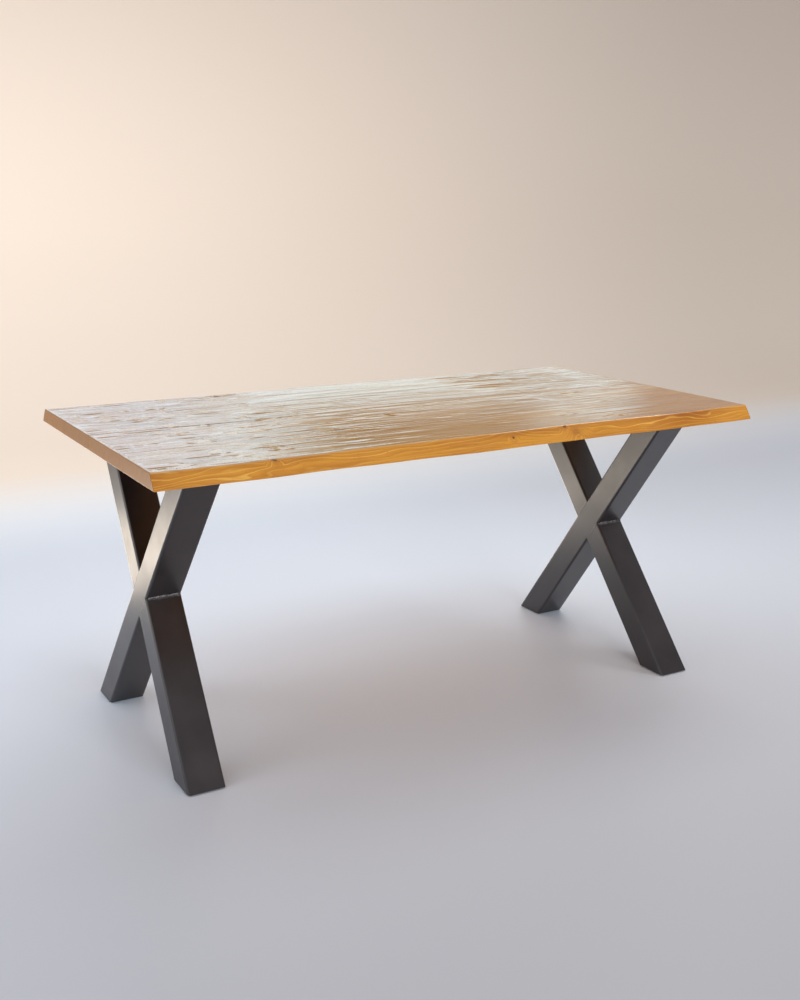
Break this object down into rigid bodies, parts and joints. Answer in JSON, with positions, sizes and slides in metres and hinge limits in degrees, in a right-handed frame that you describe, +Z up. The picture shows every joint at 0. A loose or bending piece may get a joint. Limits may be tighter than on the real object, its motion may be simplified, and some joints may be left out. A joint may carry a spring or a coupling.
{
  "type": "sawbuck table",
  "caption": "Dining table with a solid plank top, live long edges and a hewn face, on welded X-shaped frames of rectangular steel tube.",
  "frame": {"origin": "on the floor, under the middle of the top", "axes": "+X along the table's length, +Y across it to the rear, +Z up"},
  "size_m": [1.7, 0.9086, 0.755],
  "materials": {
    "top_wood": "hewn, honey stained, satin lacquer",
    "powder_coat": "near-black satin powder coat",
    "weld": "powder coat over weld",
    "zinc": "zinc plated",
    "brass": "machined",
    "glide": "moulded, matt"
  },
  "bodies": {
    "root": {"rear_board": "top_wood", "rear_middle_board": "top_wood", "front_middle_board": "top_wood", "front_board": "top_wood", "left_through_tube": "powder_coat", "left_upper_arm": "powder_coat", "left_lower_arm": "powder_coat", "left_crossing_welds": "weld", "left_top_plate": "powder_coat", "left_plate_welds": "weld", "left_front_foot_plate": "powder_coat", "left_rear_foot_plate": "powder_coat", "left_front_glide": "glide", "left_rear_glide": "glide", "left_bolts": "zinc", "left_washers": "zinc", "left_inserts": "brass", "right_through_tube": "powder_coat", "right_upper_arm": "powder_coat", "right_lower_arm": "powder_coat", "right_crossing_welds": "weld", "right_top_plate": "powder_coat", "right_plate_welds": "weld", "right_front_foot_plate": "powder_coat", "right_rear_foot_plate": "powder_coat", "right_front_glide": "glide", "right_rear_glide": "glide", "right_bolts": "zinc", "right_washers": "zinc", "right_inserts": "brass"}
  },
  "joints": []
}
